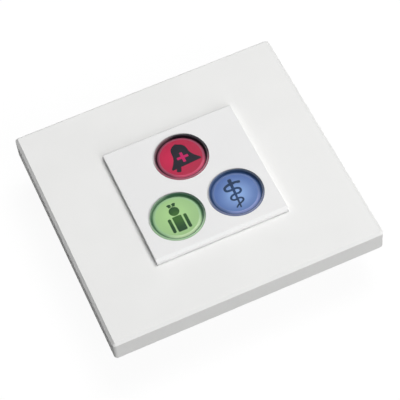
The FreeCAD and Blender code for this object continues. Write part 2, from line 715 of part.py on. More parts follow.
def terminal_screws():
    """One headless screw in the well of each terminal, down to the cage."""
    cage = BOARD_BACK - WIRE_MOUTH_OFFSET - WIRE_MOUTH_HEIGHT + CLAMP_CLEARANCE
    foot = min(TERMINAL_BACK + TERMINAL_WELL_DEPTH, cage)
    face = foot - TERMINAL_SCREW_LENGTH
    slot = (TERMINAL_SLOT_WIDTH, TERMINAL_SLOT_DEPTH)
    screws = []
    for x in spread(TERMINAL_COUNT, TERMINAL_PITCH):
        centre = (x, terminal_middle())
        screw = rod(TERMINAL_SCREW_RADIUS, centre, (face, foot))
        screws.append(slotted(screw, centre, TERMINAL_SCREW_RADIUS, face, slot))
    return Part.makeCompound(screws)


def screw_pillar(place):
    """A square screw pillar, joined to the housing walls next to it."""
    half = PILLAR_SIZE / 2
    spans = []
    for middle in place:
        reach = max(half, HOUSING_INNER - abs(middle)) if middle else half
        spans.append((middle - half, middle + reach) if middle > 0 else (middle - reach, middle + half))
    return block(spans[0], spans[1], (HOUSING_FLOOR, BOARD_BACK))


def rear_housing():
    """The box behind the board: three screw pillars, mouths for the wires and holes to reach the terminals."""
    rim = FRAME_THICKNESS + HOUSING_NEST
    box = slab((2 * HOUSING_OUTER, 2 * HOUSING_OUTER), HOUSING_CORNER, (HOUSING_BACK, rim))
    box = box.makeChamfer(HOUSING_BACK_EDGE, edges_at(box, HOUSING_BACK))
    inner_size = (2 * HOUSING_INNER, 2 * HOUSING_INNER)
    box = box.cut(slab(inner_size, HOUSING_INNER_CORNER, (HOUSING_FLOOR, rim)))
    box = box.fuse([screw_pillar(place) for place in POSTS])
    cutters = []
    for place in POSTS:
        cutters.append(rod(SCREW_HEAD_RADIUS + SCREW_CLEARANCE, place, (HOUSING_BACK, PILLAR_SEAT)))
        cutters.append(rod(SCREW_RADIUS + SCREW_CLEARANCE, place, (PILLAR_SEAT, BOARD_BACK)))
    well = (TERMINAL_WELL_SIZE, TERMINAL_WELL_SIZE)
    for x in spread(TERMINAL_COUNT, TERMINAL_PITCH):
        cutters.append(middle_block(well, (x, terminal_middle()), (HOUSING_BACK, HOUSING_FLOOR)))
    cutters += wire_mouths((HOUSING_INNER, HOUSING_OUTER), TERMINAL_CLEARANCE)
    return box.cut(cutters).removeSplitter()


def housing_screws():
    """The screws from the housing's back through the board into the fascia's posts."""
    face = PILLAR_SEAT - SCREW_HEAD_HEIGHT
    slot = (SCREW_SLOT_WIDTH, SCREW_SLOT_DEPTH)
    screws = []
    for place in POSTS:
        head = rod(SCREW_HEAD_RADIUS, place, (face, PILLAR_SEAT))
        screw = head.fuse(rod(SCREW_RADIUS, place, (PILLAR_SEAT, PILLAR_SEAT + SCREW_LENGTH)))
        screws.append(slotted(screw, place, SCREW_HEAD_RADIUS, face, slot))
    return Part.makeCompound(screws)


def all_parts():
    """Every piece by name."""
    parts = {
        "cover_frame": cover_frame(),
        "mounting_frame": mounting_frame(),
        "module_fascia": module_fascia(),
        "rear_housing": rear_housing(),
        "housing_screws": housing_screws(),
        "main_board": main_board(),
        "resistors": resistors(),
        "controller_chip": chip(CONTROLLER_SIZE, CONTROLLER_PLACE, CONTROLLER_LEAD_COUNT),
        "bus_driver_chip": chip(DRIVER_SIZE, DRIVER_PLACE, DRIVER_LEAD_COUNT),
        "smoothing_capacitor": smoothing_capacitor(),
        "terminal_block": terminal_block(),
        "terminal_clamps": terminal_clamps(),
        "terminal_screws": terminal_screws(),
    }
    makers = {
        "bezel": bezel,
        "cap": button_cap,
        "legend": legend,
        "light_guide": light_guide,
        "boot": boot,
        "plunger": plunger,
        "switch": switch,
        "leds": leds,
    }
    for colour, button in BUTTONS.items():
        for name, maker in makers.items():
            parts[f"{colour}_{name}"] = maker(button)
    return parts


os.makedirs("parts", exist_ok=True)
for part_name, part_shape in all_parts().items():
    part_shape.exportStep(os.path.join("parts", part_name + ".step"))
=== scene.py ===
"""Looks of a nurse call module: moulded white plastic, tinted rings, lit caps with signs, and a plain studio.

Lengths are in metres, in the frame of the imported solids, with +Z out of the wall and +Y up the wall. The
signs are drawn in millimetres.
"""

import math

import bmesh
import bpy
from mathutils import Matrix, Vector
from mathutils.geometry import delaunay_2d_cdt


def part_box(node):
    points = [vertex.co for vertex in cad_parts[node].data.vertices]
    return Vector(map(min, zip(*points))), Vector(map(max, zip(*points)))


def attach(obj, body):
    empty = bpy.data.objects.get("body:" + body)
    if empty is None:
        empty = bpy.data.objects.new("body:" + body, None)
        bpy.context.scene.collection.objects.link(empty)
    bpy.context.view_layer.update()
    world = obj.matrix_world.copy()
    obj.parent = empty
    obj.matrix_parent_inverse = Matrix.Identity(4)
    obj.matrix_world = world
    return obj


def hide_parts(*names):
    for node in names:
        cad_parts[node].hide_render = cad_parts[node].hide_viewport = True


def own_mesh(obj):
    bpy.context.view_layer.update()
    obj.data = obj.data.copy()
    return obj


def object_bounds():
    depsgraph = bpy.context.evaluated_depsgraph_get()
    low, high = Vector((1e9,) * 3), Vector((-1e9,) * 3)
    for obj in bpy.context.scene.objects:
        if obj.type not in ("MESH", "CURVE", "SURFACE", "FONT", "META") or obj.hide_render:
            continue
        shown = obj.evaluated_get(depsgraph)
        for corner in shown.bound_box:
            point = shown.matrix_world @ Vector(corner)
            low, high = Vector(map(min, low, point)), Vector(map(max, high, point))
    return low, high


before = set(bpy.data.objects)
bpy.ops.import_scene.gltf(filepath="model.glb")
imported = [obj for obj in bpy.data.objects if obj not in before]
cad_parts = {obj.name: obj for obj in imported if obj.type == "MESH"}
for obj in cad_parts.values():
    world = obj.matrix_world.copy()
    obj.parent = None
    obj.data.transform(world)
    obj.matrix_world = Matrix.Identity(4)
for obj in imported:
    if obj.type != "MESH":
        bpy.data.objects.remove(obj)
CAD_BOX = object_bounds()

bl_info = {
    "name": "Nurse call module looks",
    "version": (1, 0, 0),
    "blender": (4, 5, 0),
    "location": "View3D > Sidebar > Call module",
    "description": "Dresses the solids of a nurse call module and sets up its studio",
    "category": "Object",
}

MM = 0.001
COLOURS = ("red", "green", "blue")

# Rings and caps, where the solids' boxes don't give the size
RING_FLANGE = 0.45 * MM
RING_WALL = 0.85 * MM
RING_FOOT = 1.2 * MM
RING_STEPS = 128
LIP_ROUND = 0.35 * MM
LIP_ROUND_STEPS = 6
LIP_FALL = 0.17 * MM
LIP_FALL_POWER = 1.5
LIP_FALL_STEPS = 5
CAP_PLAY = 0.2 * MM

# Silicone boots
BOOT_WALL = 0.45 * MM
BOOT_SKIRT = 3.3 * MM
BOOT_SKIRT_SOFTNESS = 0.8 * MM
BOOT_TIP = 2.2 * MM
BOOT_TIP_WALL = 0.4 * MM
BOOT_TIP_SOFTNESS = 0.5 * MM
BOOT_CORNER_SHARE = 0.16

# How deep a sign lies in its cap, and how far it stands out
SIGN_SUNK = 0.03 * MM
SIGN_PROUD = 0.008 * MM

# Places and sizes of the signs in millimetres from the middle of their caps, and the bell's tilt in degrees
SIGN_MIDDLE = (-0.12, -0.37)
BELL_MIDDLE = (0.46, -0.37)
BELL_TILT = 3.5
BELL_MOUTH = -2.93
PLUS_MIDDLE = (0.48, -0.12)
PLUS_REACH = 1.9
PLUS_HALF_WIDTH = 0.46

# Shading: edges that turn by more than these angles, in degrees, stay sharp
MOULDED_EDGE = 28.0
CAP_SHOULDER_EDGE = 15.0
SOFT_PIECE_EDGE = 40.0
WELD_DISTANCE = 0.001 * MM
WEIGHT_OF_LARGE_FACES = 100

# Camera, fitted to the corners of the plate and of the module in the photograph
CAMERA_PLACE = Vector((-0.09054, -0.27931, 0.44861))
CAMERA_FORWARD = Vector((0.17055, 0.51900, -0.83759))
CAMERA_UP = Vector((0.37237, 0.75305, 0.54245))
CAMERA_LENS = 152.1
CAMERA_SENSOR = 36.0
CAMERA_NEAREST = 0.01

# Lamps and floor
LAMP_WIDTH = 1.1
FRONT_LAMP_HEIGHT = 2.0
LAMP_DISTANCE = 2.0
KEY_DIRECTION = Vector((0.33, 0.28, 0.9))
FRONT_DIRECTION = Vector((0.24, -0.91, 0.43))
FLOOR_HALF = 3.0
FLOOR_GLOW = 1.02
FLOOR_ROUGHNESS = 0.9
BACKDROP_LEVEL = 1.0


# Colours and places


def linear(value):
    """A display value of 0 to 255 as a share of full light."""
    share = value / 255
    return ((share + 0.055) / 1.055) ** 2.4 if value > 10 else share / 12.92


def shade(red, green, blue):
    """A linear colour from display values of 0 to 255."""
    return tuple(linear(value) for value in (red, green, blue))


def darkened(colour, share):
    """A colour with each channel at a share of its value."""
    return tuple(channel * share for channel in colour)


def middle(node):
    """The middle of a CAD node's box."""
    low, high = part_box(node)
    return (low + high) / 2


WHITE = (1.0, 1.0, 1.0)
BLACK = (0.0, 0.0, 0.0)


# Shader maths


class Link:
    """An output socket of a node tree, which can be used in sums with numbers and other links."""

    def __init__(self, nodes, socket):
        self.nodes = nodes
        self.socket = socket

    def maths(self, operation, first, second):
        """A link to the result of one operation on two values."""
        return self.nodes.add("ShaderNodeMath", {"operation": operation}, {0: first, 1: second})

    def __add__(self, other):
        return self.maths("ADD", self, other)

    __radd__ = __add__

    def __sub__(self, other):
        return self.maths("SUBTRACT", self, other)

    def __rsub__(self, other):
        return self.maths("SUBTRACT", other, self)

    def __mul__(self, other):
        return self.maths("MULTIPLY", self, other)

    __rmul__ = __mul__

    def __truediv__(self, other):
        return self.maths("DIVIDE", self, other)

    def root(self):
        return self.maths("SQRT", self, 0.0)

    def above(self, start, end):
        """0 before start, 1 after end, and smooth between them."""
        return self.nodes.add(
            "ShaderNodeMapRange",
            {"interpolation_type": "SMOOTHSTEP"},
            {"Value": self, "From Min": start, "From Max": end},
        )

    def near(self, edge, band):
        """0 further than the band's first depth below an edge, and 1 closer than its second."""
        return self.above(edge - band[0], edge - band[1])


class Nodes:
    """The node tree of a material or a world."""

    def __init__(self, tree):
        self.tree = tree

    def feed(self, socket, value):
        """Gives a socket a number, a colour or a link."""
        if isinstance(value, Link):
            self.tree.links.new(value.socket, socket)
        elif socket.type == "RGBA":
            socket.default_value = (*value, 1.0)
        else:
            socket.default_value = value

    def add(self, kind, settings=None, inputs=None, output=0):
        """Adds a node: its settings first, then what its sockets get. Returns a link to one output."""
        node = self.tree.nodes.new(kind)
        for name, value in (settings or {}).items():
            setattr(node, name, value)
        for name, value in (inputs or {}).items():
            self.feed(node.inputs[name], value)
        return Link(self, node.outputs[output])

    def mix_shaders(self, share, first, second):
        """A shader between two shaders."""
        return self.add("ShaderNodeMixShader", None, {0: share, 1: first, 2: second})

    def seen_by(self, ray):
        """1 for one kind of ray, such as Is Camera Ray, and 0 for the others."""
        return self.add("ShaderNodeLightPath", output=ray)

    def show(self, output, surface):
        """Feeds the tree's output node with a shader."""
        self.feed(self.tree.nodes[output].inputs["Surface"], surface)


MIX_FIRST_COLOUR = 6
MIX_SECOND_COLOUR = 7
MIX_COLOUR_RESULT = 2


class Recipe(Nodes):
    """A material built from one Principled shader and the nodes that feed it."""

    def __init__(self, name, **sockets):
        self.material = bpy.data.materials.new(name)
        self.material.use_nodes = True
        super().__init__(self.material.node_tree)
        self.shader = self.tree.nodes["Principled BSDF"]
        for socket, value in sockets.items():
            self.set(socket.replace("_", " "), value)

    def set(self, socket, value):
        """Feeds one socket of the shader with a number, a colour or a link."""
        self.feed(self.shader.inputs[socket], value)

    def place(self):
        """Where a point of the surface is, in the frame's metres."""
        return self.add("ShaderNodeTexCoord", output="Object")

    def noise(self, feature, detail, stretch=(1.0, 1.0, 1.0)):
        """A soft random pattern of 0 to 1 whose features have the given size in metres."""
        where = self.add("ShaderNodeMapping", None, {"Vector": self.place(), "Scale": stretch})
        return self.add("ShaderNodeTexNoise", None, {"Vector": where, "Scale": 1 / feature, "Detail": detail})

    def blend(self, first, second, share):
        """A colour between two colours."""
        inputs = {0: share, MIX_FIRST_COLOUR: first, MIX_SECOND_COLOUR: second}
        return self.add("ShaderNodeMix", {"data_type": "RGBA"}, inputs, MIX_COLOUR_RESULT)

    def axes(self):
        """The three coordinates of a point of the surface, each on its own."""
        return [self.add("ShaderNodeSeparateXYZ", None, {0: self.place()}, axis) for axis in range(3)]

    def round(self, centre, shift=(0.0, 0.0)):
        """The distance from an upright axis, and how far a place faces a side: 1 towards it, -1 away from it.

        The axis stands a shift, in millimetres, off the centre. The second result is a function of the side.
        """
        x, y, _ = self.axes()
        across, along = x - (centre.x + shift[0] * MM), y - (centre.y + shift[1] * MM)
        radius = (across * across + along * along).root()
        return radius, lambda side: (across * side[0] + along * side[1]) / radius

    def bump(self, height, depth):
        """Relief of the given depth in metres."""
        relief = {"Height": height, "Distance": depth, "Strength": 1.0}
        self.set("Normal", self.add("ShaderNodeBump", None, relief))


# Finishes of plastic and metal

MOULDED_SPECULAR = 0.35
MOTTLE_SIZE = 18 * MM
MOTTLE_EDGES = (0.35, 0.65)
GRAIN_IN_GLOSS = 0.08
MOTTLE_IN_GLOSS = 0.04
MARK_SIZE = 0.4 * MM
MARK_SHADE = 0.82
MARK_IN_GLOSS = 0.15
MARK_RELIEF = 0.004 * MM


def moulded(name, colour, roughness, grain, relief, mottle=0.02):
    """Injection-moulded plastic: a fine even grain and a faint unevenness of colour and gloss."""
    recipe = Recipe(name, Specular_IOR_Level=MOULDED_SPECULAR)
    speck = recipe.noise(grain, detail=3.0)
    cloud = recipe.noise(MOTTLE_SIZE, detail=1.0)
    recipe.set("Base Color", recipe.blend(darkened(colour, 1 - mottle), colour, cloud.above(*MOTTLE_EDGES)))
    recipe.set("Roughness", roughness + (speck - 0.5) * GRAIN_IN_GLOSS + (cloud - 0.5) * MOTTLE_IN_GLOSS)
    recipe.bump(speck, relief)
    return recipe.material


def brushed(name, colour, roughness, stretch):
    """Metal with fine drawn marks along one direction."""
    recipe = Recipe(name, Metallic=1.0)
    marks = recipe.noise(MARK_SIZE, detail=4.0, stretch=stretch)
    recipe.set("Base Color", recipe.blend(darkened(colour, MARK_SHADE), colour, marks))
    recipe.set("Roughness", roughness + (marks - 0.5) * MARK_IN_GLOSS)
    recipe.bump(marks, MARK_RELIEF)
    return recipe.material


# Finishes of the buttons, with painted light and shade by side and by depth. A side is a direction across the
# button.
# A turn says how far a place faces a side where a tint begins and where it is full, and a band how deep below
# an edge it begins and is full.

# Painted light and shade on the rings: the lip lit at the front, the wall lit at the upper left, and a pale
# outer edge there
LIP_SIDE = (-0.45, -0.89)
LIP_TURN = (-0.55, 0.75)
LIP_BAND = (0.75 * MM, 0.35 * MM)
LIP_TOP_BAND = (0.8 * MM, 0.1 * MM)
LIP_UNEVENNESS = 0.3
LIT_WALL_SIDE = (-0.6, 0.8)
LIT_WALL_TURN = (0.72, 0.97)
PALE_SIDE = (-0.55, 0.83)
PALE_TURN = (0.25, 0.9)
PALE_BAND = (0.5 * MM, 0.2 * MM)
PALE_EDGE = shade(226, 224, 224)
RING_GLOW_BAND = (1.3 * MM, 0.5 * MM)
RING_SPECULAR = 0.28
RING_CLOUD = 1.6 * MM
RING_ROUGHNESS = 0.14

# Painted light at the front of the caps' shoulders, and painted shade on their outer part elsewhere
SHOULDER_SIDE = (0.2, -0.98)
SHOULDER_TURN = (0.4, 0.95)
SHOULDER_BAND = (1.2 * MM, 0.85 * MM)
SHOULDER_SHADE_BAND = (0.55 * MM, 0.15 * MM)
SHOULDER_SHADE_SHARE = 0.8
CAP_GLOW_BAND = (0.5 * MM, 0.1 * MM)
CAP_SPECULAR = 0.16
CAP_CLOUD = 4 * MM
CAP_ROUGHNESS = 0.17
GLOW_REACH = 7.5 * MM
GLOW_UNEVENNESS = 0.1
CLOUD_IN_GLOSS = 0.06

INK_SPECULAR = 0.1
INK_CLOUD = 1.2 * MM
INK_UNEVENNESS = 1.5
INK_ROUGHNESS = 0.2
CLOUD_IN_INK_GLOSS = 0.08
LIT_INK_RADII = (0.5, 4.5)


def paint_glow(recipe, tint, share):
    """A faint painted glow of its own that lifts the shade in a button, standing in for the button's lamps
    shining through.
    """
    recipe.set("Emission Color", recipe.blend(BLACK, tint, share))
    recipe.set("Emission Strength", 1.0)


def ring_glaze(colour, tints):
    """Tinted clear plastic with painted shade inside and at the back, painted light at the front and upper
    left, and a painted glow deep inside.
    """
    recipe = Recipe(f"{colour}_ring_plastic", Specular_IOR_Level=RING_SPECULAR)
    low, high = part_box(f"{colour}_bezel")
    outer = (high.x - low.x) / 2 - RING_FLANGE
    radius, turn = recipe.round(middle(f"{colour}_bezel"))
    height = recipe.axes()[2]
    lip = radius.near(outer, LIP_BAND) * height.near(high.z, LIP_TOP_BAND)
    cloud = recipe.noise(RING_CLOUD, detail=1.0)
    # Painted light and shade on the lip: lighter where it faces the front and lower left, darker at the back.
    lip_share = (turn(LIP_SIDE) + (cloud - 0.5) * LIP_UNEVENNESS).above(*LIP_TURN)
    lip_colour = recipe.blend(tints.shaded_lip, tints.lip, lip_share)
    # Painted light on the wall at the upper left, where it faces the lamps on the right and in front.
    lit_wall_share = turn(LIT_WALL_SIDE).above(*LIT_WALL_TURN)
    # Painted light: the outer edge at the upper left, which faces away from the lamps, is painted near white,
    # as if the white front showed through it.
    pale = turn(PALE_SIDE).above(*PALE_TURN) * radius.near(outer, PALE_BAND)
    # Painted shade: below the lip the ring takes the dark wall colour, for the clear plastic seen against its
    # dark inside.
    inside = recipe.blend(recipe.blend(tints.wall, lip_colour, lip), tints.painted_lit_wall, lit_wall_share)
    recipe.set("Base Color", recipe.blend(inside, PALE_EDGE, pale))
    # Painted glow deep inside the ring, which lifts the shade there.
    paint_glow(recipe, tints.painted_glow, 1 - height.near(high.z, RING_GLOW_BAND))
    recipe.set("Roughness", RING_ROUGHNESS + cloud * CLOUD_IN_GLOSS)
    return recipe.material


def cap_glaze(colour, tints):
    """Polished tinted plastic that glows near its middle, with a painted highlight on its shoulder, painted
    light at the front, painted shade at its rim elsewhere, and a painted glow there.
    """
    recipe = Recipe(f"{colour}_cap_plastic", Specular_IOR_Level=CAP_SPECULAR)
    low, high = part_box(f"{colour}_bezel")
    centre = middle(f"{colour}_bezel")
    edge = (high.x - low.x) / 2 - RING_FLANGE - RING_WALL - CAP_PLAY
    radius, turn = recipe.round(centre)
    glow_radius, _ = recipe.round(centre, tints.glow_place)
    cloud = recipe.noise(CAP_CLOUD, detail=1.0)
    away = (glow_radius / GLOW_REACH + (cloud - 0.5) * GLOW_UNEVENNESS).above(0.0, 1.0)
    face = recipe.blend(tints.glow, tints.cap, away)
    # Painted light on the shoulder at the front, where the front lamp falls.
    lit = turn(SHOULDER_SIDE).above(*SHOULDER_TURN)
    lit_wall_share = turn(LIT_WALL_SIDE).above(*LIT_WALL_TURN)
    # Painted shade on the shoulder's outer part, less on the lit side; it takes the ring wall's painted shade
    # and painted light.
    shoulder_shade = radius.near(edge, SHOULDER_SHADE_BAND) * (SHOULDER_SHADE_SHARE - SHOULDER_SHADE_SHARE * lit)
    shaded_shoulder = recipe.blend(tints.shoulder, recipe.blend(tints.wall, tints.painted_lit_wall, lit_wall_share), shoulder_shade)
    shoulder = recipe.blend(shaded_shoulder, tints.lit_shoulder, lit)
    # The shoulder colour, greyer and paler than the face, is a painted highlight round it.
    recipe.set("Base Color", recipe.blend(face, shoulder, radius.near(edge, SHOULDER_BAND)))
    # Painted glow at the cap's rim, which lifts the shade between the cap and the ring.
    paint_glow(recipe, tints.painted_glow, radius.near(edge, CAP_GLOW_BAND))
    recipe.set("Roughness", CAP_ROUGHNESS + cloud * CLOUD_IN_GLOSS)
    return recipe.material


def sign_ink(name, colour, lit, centre):
    """Printed ink under a clear gloss, which lets some light through near the cap's middle."""
    recipe = Recipe(name, Specular_IOR_Level=INK_SPECULAR)
    radius, _ = recipe.round(centre)
    cloud = recipe.noise(INK_CLOUD, detail=2.0)
    far = (radius / MM + (cloud - 0.5) * INK_UNEVENNESS).above(*LIT_INK_RADII)
    recipe.set("Base Color", recipe.blend(lit, colour, far))
    recipe.set("Roughness", INK_ROUGHNESS + cloud * CLOUD_IN_INK_GLOSS)
    return recipe.material


# Mesh helpers


def add_object(name, data):
    """A new object in the scene."""
    item = bpy.data.objects.new(name, data)
    bpy.context.scene.collection.objects.link(item)
    return item


def new_piece(name, mesh, material, body):
    """A piece of the scene that rides on a body of the frame."""
    piece = add_object(name, mesh)
    piece.data.materials.append(material)
    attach(piece, body)
    return piece


def lofted_mesh(name, loops):
    """A closed skin through loops of points in metres, from the first to the last and back to the first.

    A loop of one point closes the skin there. The others have the same number of points.
    """
    mesh = bpy.data.meshes.new(name)
    form = bmesh.new()
    loops = [[form.verts.new(point) for point in loop] for loop in loops]
    steps = max(len(loop) for loop in loops)
    for index, inner in enumerate(loops):
        outer = loops[(index + 1) % len(loops)]
        if len(inner) == 1 and len(outer) == 1:
            continue
        for step in range(steps):
            following = (step + 1) % steps
            corners = [inner[step % len(inner)], outer[step % len(outer)]]
            corners += [outer[following % len(outer)], inner[following % len(inner)]]
            form.faces.new(list(dict.fromkeys(corners)))
    bmesh.ops.recalc_face_normals(form, faces=form.faces)
    form.to_mesh(mesh)
    form.free()
    mesh.shade_smooth()
    return mesh


def turned_mesh(name, outline, centre, steps):
    """A closed ring turned about an upright axis from (radius, height) points in metres."""
    angles = [2 * math.pi * step / steps for step in range(steps)]
    directions = [(math.cos(angle), math.sin(angle)) for angle in angles]
    loops = [
        [(centre.x + radius * x, centre.y + radius * y, height) for x, y in directions]
        for radius, height in outline
    ]
    return lofted_mesh(name, loops)


def arc(centre, radius, start, end, steps):
    """Points of an arc in a plane, with its angles in degrees."""
    angles = [math.radians(start + (end - start) * step / steps) for step in range(steps + 1)]
    return [(centre[0] + radius * math.cos(angle), centre[1] + radius * math.sin(angle)) for angle in angles]


def soft_corner(before, corner, after, reach, steps=4):
    """Points of a bend that cuts a corner: it starts and ends at a distance of reach from it."""
    before, corner, after = Vector(before), Vector(corner), Vector(after)
    start = corner + (before - corner).normalized() * reach
    end = corner + (after - corner).normalized() * reach
    shares = [step / steps for step in range(steps + 1)]
    return [tuple(start.lerp(corner, share).lerp(corner.lerp(end, share), share)) for share in shares]


def sharpen(piece, angle):
    """Keeps the edges of a smoothly shaded piece that turn by more than an angle."""
    split = piece.modifiers.new("Edges", "EDGE_SPLIT")
    split.split_angle = math.radians(angle)


def soften(node, angle):
    """Smooth shading across a CAD node's edges that turn by less than an angle; large faces stay flat."""
    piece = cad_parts[node]
    piece.data.shade_smooth()
    weld = piece.modifiers.new("Weld", "WELD")
    weld.merge_threshold = WELD_DISTANCE
    sharpen(piece, angle)
    flats = piece.modifiers.new("Flat faces", "WEIGHTED_NORMAL")
    flats.weight = WEIGHT_OF_LARGE_FACES


def dress(nodes, material, angle=MOULDED_EDGE):
    """Gives CAD nodes their material and soft edges."""
    for node in nodes:
        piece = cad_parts[node]
        piece.data.materials.clear()
        piece.data.materials.append(material)
        soften(node, angle)


# Signs on the caps, drawn in millimetres round the cap's middle


def spline_value(before, start, end, after, share):
    """One coordinate on a smooth curve from start to end, which before and after bend."""
    slope = (end - before) * share
    bend = (2 * before - 5 * start + 4 * end - after) * share * share
    twist = (3 * start - before - 3 * end + after) * share**3
    return 0.5 * (2 * start + slope + bend + twist)


def smooth_line(points, steps=6):
    """Points along a smooth line through the given ones."""
    ends = [points[0], *points, points[-1]]
    line = []
    for four_points in zip(ends, ends[1:], ends[2:], ends[3:]):
        for step in range(steps):
            line.append(tuple(spline_value(*values, step / steps) for values in zip(*four_points)))
    return line + [points[-1]]


def rounded_bar(centre, width, height, corner, steps=6):
    """The outline of an upright bar with round corners."""
    x, y = centre
    reach = (width / 2 - corner, height / 2 - corner)
    outline = []
    for quarter, (side_x, side_y) in enumerate(((1, 1), (-1, 1), (-1, -1), (1, -1))):
        corner_centre = (x + side_x * reach[0], y + side_y * reach[1])
        outline += arc(corner_centre, corner, 90 * quarter, 90 * quarter + 90, steps)
    return outline


def ribbon(line, widths):
    """The outline of a band round a line whose width goes through the given values."""
    left, right = [], []
    for index, (x, y) in enumerate(line):
        before = line[max(index - 1, 0)]
        after = line[min(index + 1, len(line) - 1)]
        along = Vector((after[0] - before[0], after[1] - before[1])).normalized()
        share = index / (len(line) - 1) * (len(widths) - 1)
        low = min(int(share), len(widths) - 2)
        half = (widths[low] + (widths[low + 1] - widths[low]) * (share - low)) / 2
        left.append((x - along.y * half, y + along.x * half))
        right.append((x + along.y * half, y - along.x * half))
    return left + right[::-1]


def placed(outline, centre, angle=0.0):
    """An outline drawn round the origin, turned by an angle in degrees and moved to a centre."""
    cosine, sine = math.cos(math.radians(angle)), math.sin(math.radians(angle))
    return [(centre[0] + x * cosine - y * sine, centre[1] + x * sine + y * cosine) for x, y in outline]


def bell_sign():
    """A hand bell with a round top, a flared mouth and a clapper that swings to the left."""
    left = [(-0.75, 5.6), (-1.5, 5.1), (-2.1, 4.5), (-2.4, 3.8), (-2.55, 3.0), (-2.65, 2.1), (-2.8, 1.3)]
    left += [(-3.1, 0.5), (-3.5, -0.2), (-3.9, -0.9), (-4.4, -1.5), (-4.9, -2.1), (-5.1, -2.6)]
    right = [(0.05, 5.9), (0.75, 5.4), (1.75, 4.8), (2.5, 3.8), (2.7, 2.8), (2.78, 1.75), (3.05, 0.65)]
    right += [(3.75, -0.65), (4.5, -1.6), (5.05, -2.3)]
    mouth = [(5.05, BELL_MOUTH), (-4.95, BELL_MOUTH)]
    body = [*smooth_line(right, 5), *mouth, *reversed(smooth_line(left, 5))]
    clapper = placed(rounded_bar((0.0, 0.0), 1.45, 1.9, 0.3), (-3.1, -3.5), -27.0)
    return [placed(part, BELL_MIDDLE, BELL_TILT) for part in (body, clapper)]


def plus_sign():
    """The plus in the middle of the bell."""
    reach, half = PLUS_REACH, PLUS_HALF_WIDTH
    arm = [(half, half), (half, reach), (-half, reach)]
    return [[point for turn in range(4) for point in placed(arm, PLUS_MIDDLE, 90 * turn)]]


def nurse_sign():
    """A figure of plain shapes: cap with a notch, head, tunic and two arms."""
    head = arc((0.05, 2.6), 1.67, 0, 354, 59)
    tunic = rounded_bar((0.0, -2.15), 3.0, 5.75, 0.35)
    arms = [rounded_bar((side * 2.6, -2.15), 1.06, 5.4, 0.5) for side in (-1, 1)]
    cap_left = [(-0.95, 4.3), (-0.05, 4.45), (-0.05, 4.85), (-0.3, 4.85), (-0.3, 5.05)]
    cap_left += [(-0.05, 5.05), (-0.05, 5.4), (-0.75, 5.65), (-1.45, 5.4)]
    cap_right = [(-x + 0.1, y) for x, y in reversed(cap_left)]
    return [placed(part, SIGN_MIDDLE) for part in (head, tunic, *arms, cap_left, cap_right)]


def rod_sign():
    """A rod, thicker at its top, with a snake wound round it."""
    rod = ribbon([(0.1, 5.5), (0.0, 3.6), (-0.2, 0.0), (-0.55, -5.2)], [1.3, 1.05, 0.8, 0.5])
    knob = rounded_bar((0.12, 5.45), 1.25, 1.0, 0.45)
    bends = [(2.75, 3.75), (1.7, 4.1), (0.4, 4.05), (-1.2, 3.95), (-2.45, 3.3), (-2.35, 2.2), (-1.1, 1.9)]
    bends += [(0.5, 2.0), (1.7, 1.6), (1.9, 0.6), (1.0, 0.0), (-0.4, 0.1), (-1.7, -0.3), (-2.1, -1.2)]
    bends += [(-1.3, -1.9), (0.1, -1.75), (1.1, -2.1), (1.2, -2.9), (0.3, -3.5), (-0.9, -3.95)]
    bends += [(-1.85, -4.75)]
    head = placed(rounded_bar((0.0, 0.0), 1.5, 0.95, 0.42), (2.35, 3.9), -16.0)
    snake = ribbon(smooth_line(bends), [0.6, 1.0, 0.85, 0.8, 0.8, 0.75, 0.7, 0.7, 0.65, 0.65, 0.6, 0.5])
    return [placed(part, SIGN_MIDDLE) for part in (rod, knob, head, snake)]


def anticlockwise(outline):
    """The outline's points in the order that has its inside on the left."""
    following = outline[1:] + outline[:1]
    area = sum(x * next_y - next_x * y for (x, y), (next_x, next_y) in zip(outline, following))
    return outline if area > 0 else outline[::-1]


SAME_PLACE = 1e-4
KEEP_INSIDE = 1


def plate_of(name, outlines, holes, centre, foot, top):
    """A thin plate that covers all the outlines but not the holes.

    The outlines are in millimetres round the centre, and the heights of foot and top are in metres.
    """
    points, loops = [], []
    for outline in outlines + holes:
        loops.append(list(range(len(points), len(points) + len(outline))))
        points += [Vector(point) for point in anticlockwise(outline)]
    places, _, triangles, _, _, owners = delaunay_2d_cdt(points, [], loops, KEEP_INSIDE, SAME_PLACE)
    mesh = bpy.data.meshes.new(name)
    form = bmesh.new()
    low = [form.verts.new((centre.x + place.x * MM, centre.y + place.y * MM, foot)) for place in places]
    for triangle, owner in zip(triangles, owners):
        if owner and max(owner) < len(outlines):
            form.faces.new([low[index] for index in triangle])
    bmesh.ops.delete(form, geom=[vertex for vertex in form.verts if not vertex.link_faces], context="VERTS")
    raised = bmesh.ops.extrude_face_region(form, geom=form.faces[:], use_keep_orig=True)["geom"]
    for part in raised:
        if isinstance(part, bmesh.types.BMVert):
            part.co.z = top
    bmesh.ops.recalc_face_normals(form, faces=form.faces)
    form.to_mesh(mesh)
    form.free()
    return mesh


# What a user can change


def colour_property(name, description, default):
    return bpy.props.FloatVectorProperty(
        name=name, description=description, subtype="COLOR", size=3, min=0.0, max=1.0, default=default
    )


def length_property(name, description, default):
    return bpy.props.FloatProperty(
        name=name, description=description, subtype="DISTANCE", unit="LENGTH", min=0.0, default=default
    )


def share_property(name, description, default):
    return bpy.props.FloatProperty(
        name=name, description=description, subtype="FACTOR", min=0.0, max=1.0, default=default
    )


def place_property(name, description):
    return bpy.props.FloatVectorProperty(name=name, description=description, size=2, default=(0.0, 0.0))


class PlasticLooks(bpy.types.PropertyGroup):
    """White mouldings."""

    cover: colour_property("Cover", "Colour of the cover plate", (0.87, 0.87, 0.86))
    fascia: colour_property("Fascia", "Colour of the module's front", (0.85, 0.85, 0.85))
    hidden: colour_property("Hidden mouldings", "Colour of the frame and the housing", (0.8, 0.8, 0.79))
    roughness: share_property("Roughness", "Roughness of the white mouldings", 0.55)
    grain: length_property("Grain", "Size of the moulded grain", 0.22 * MM)


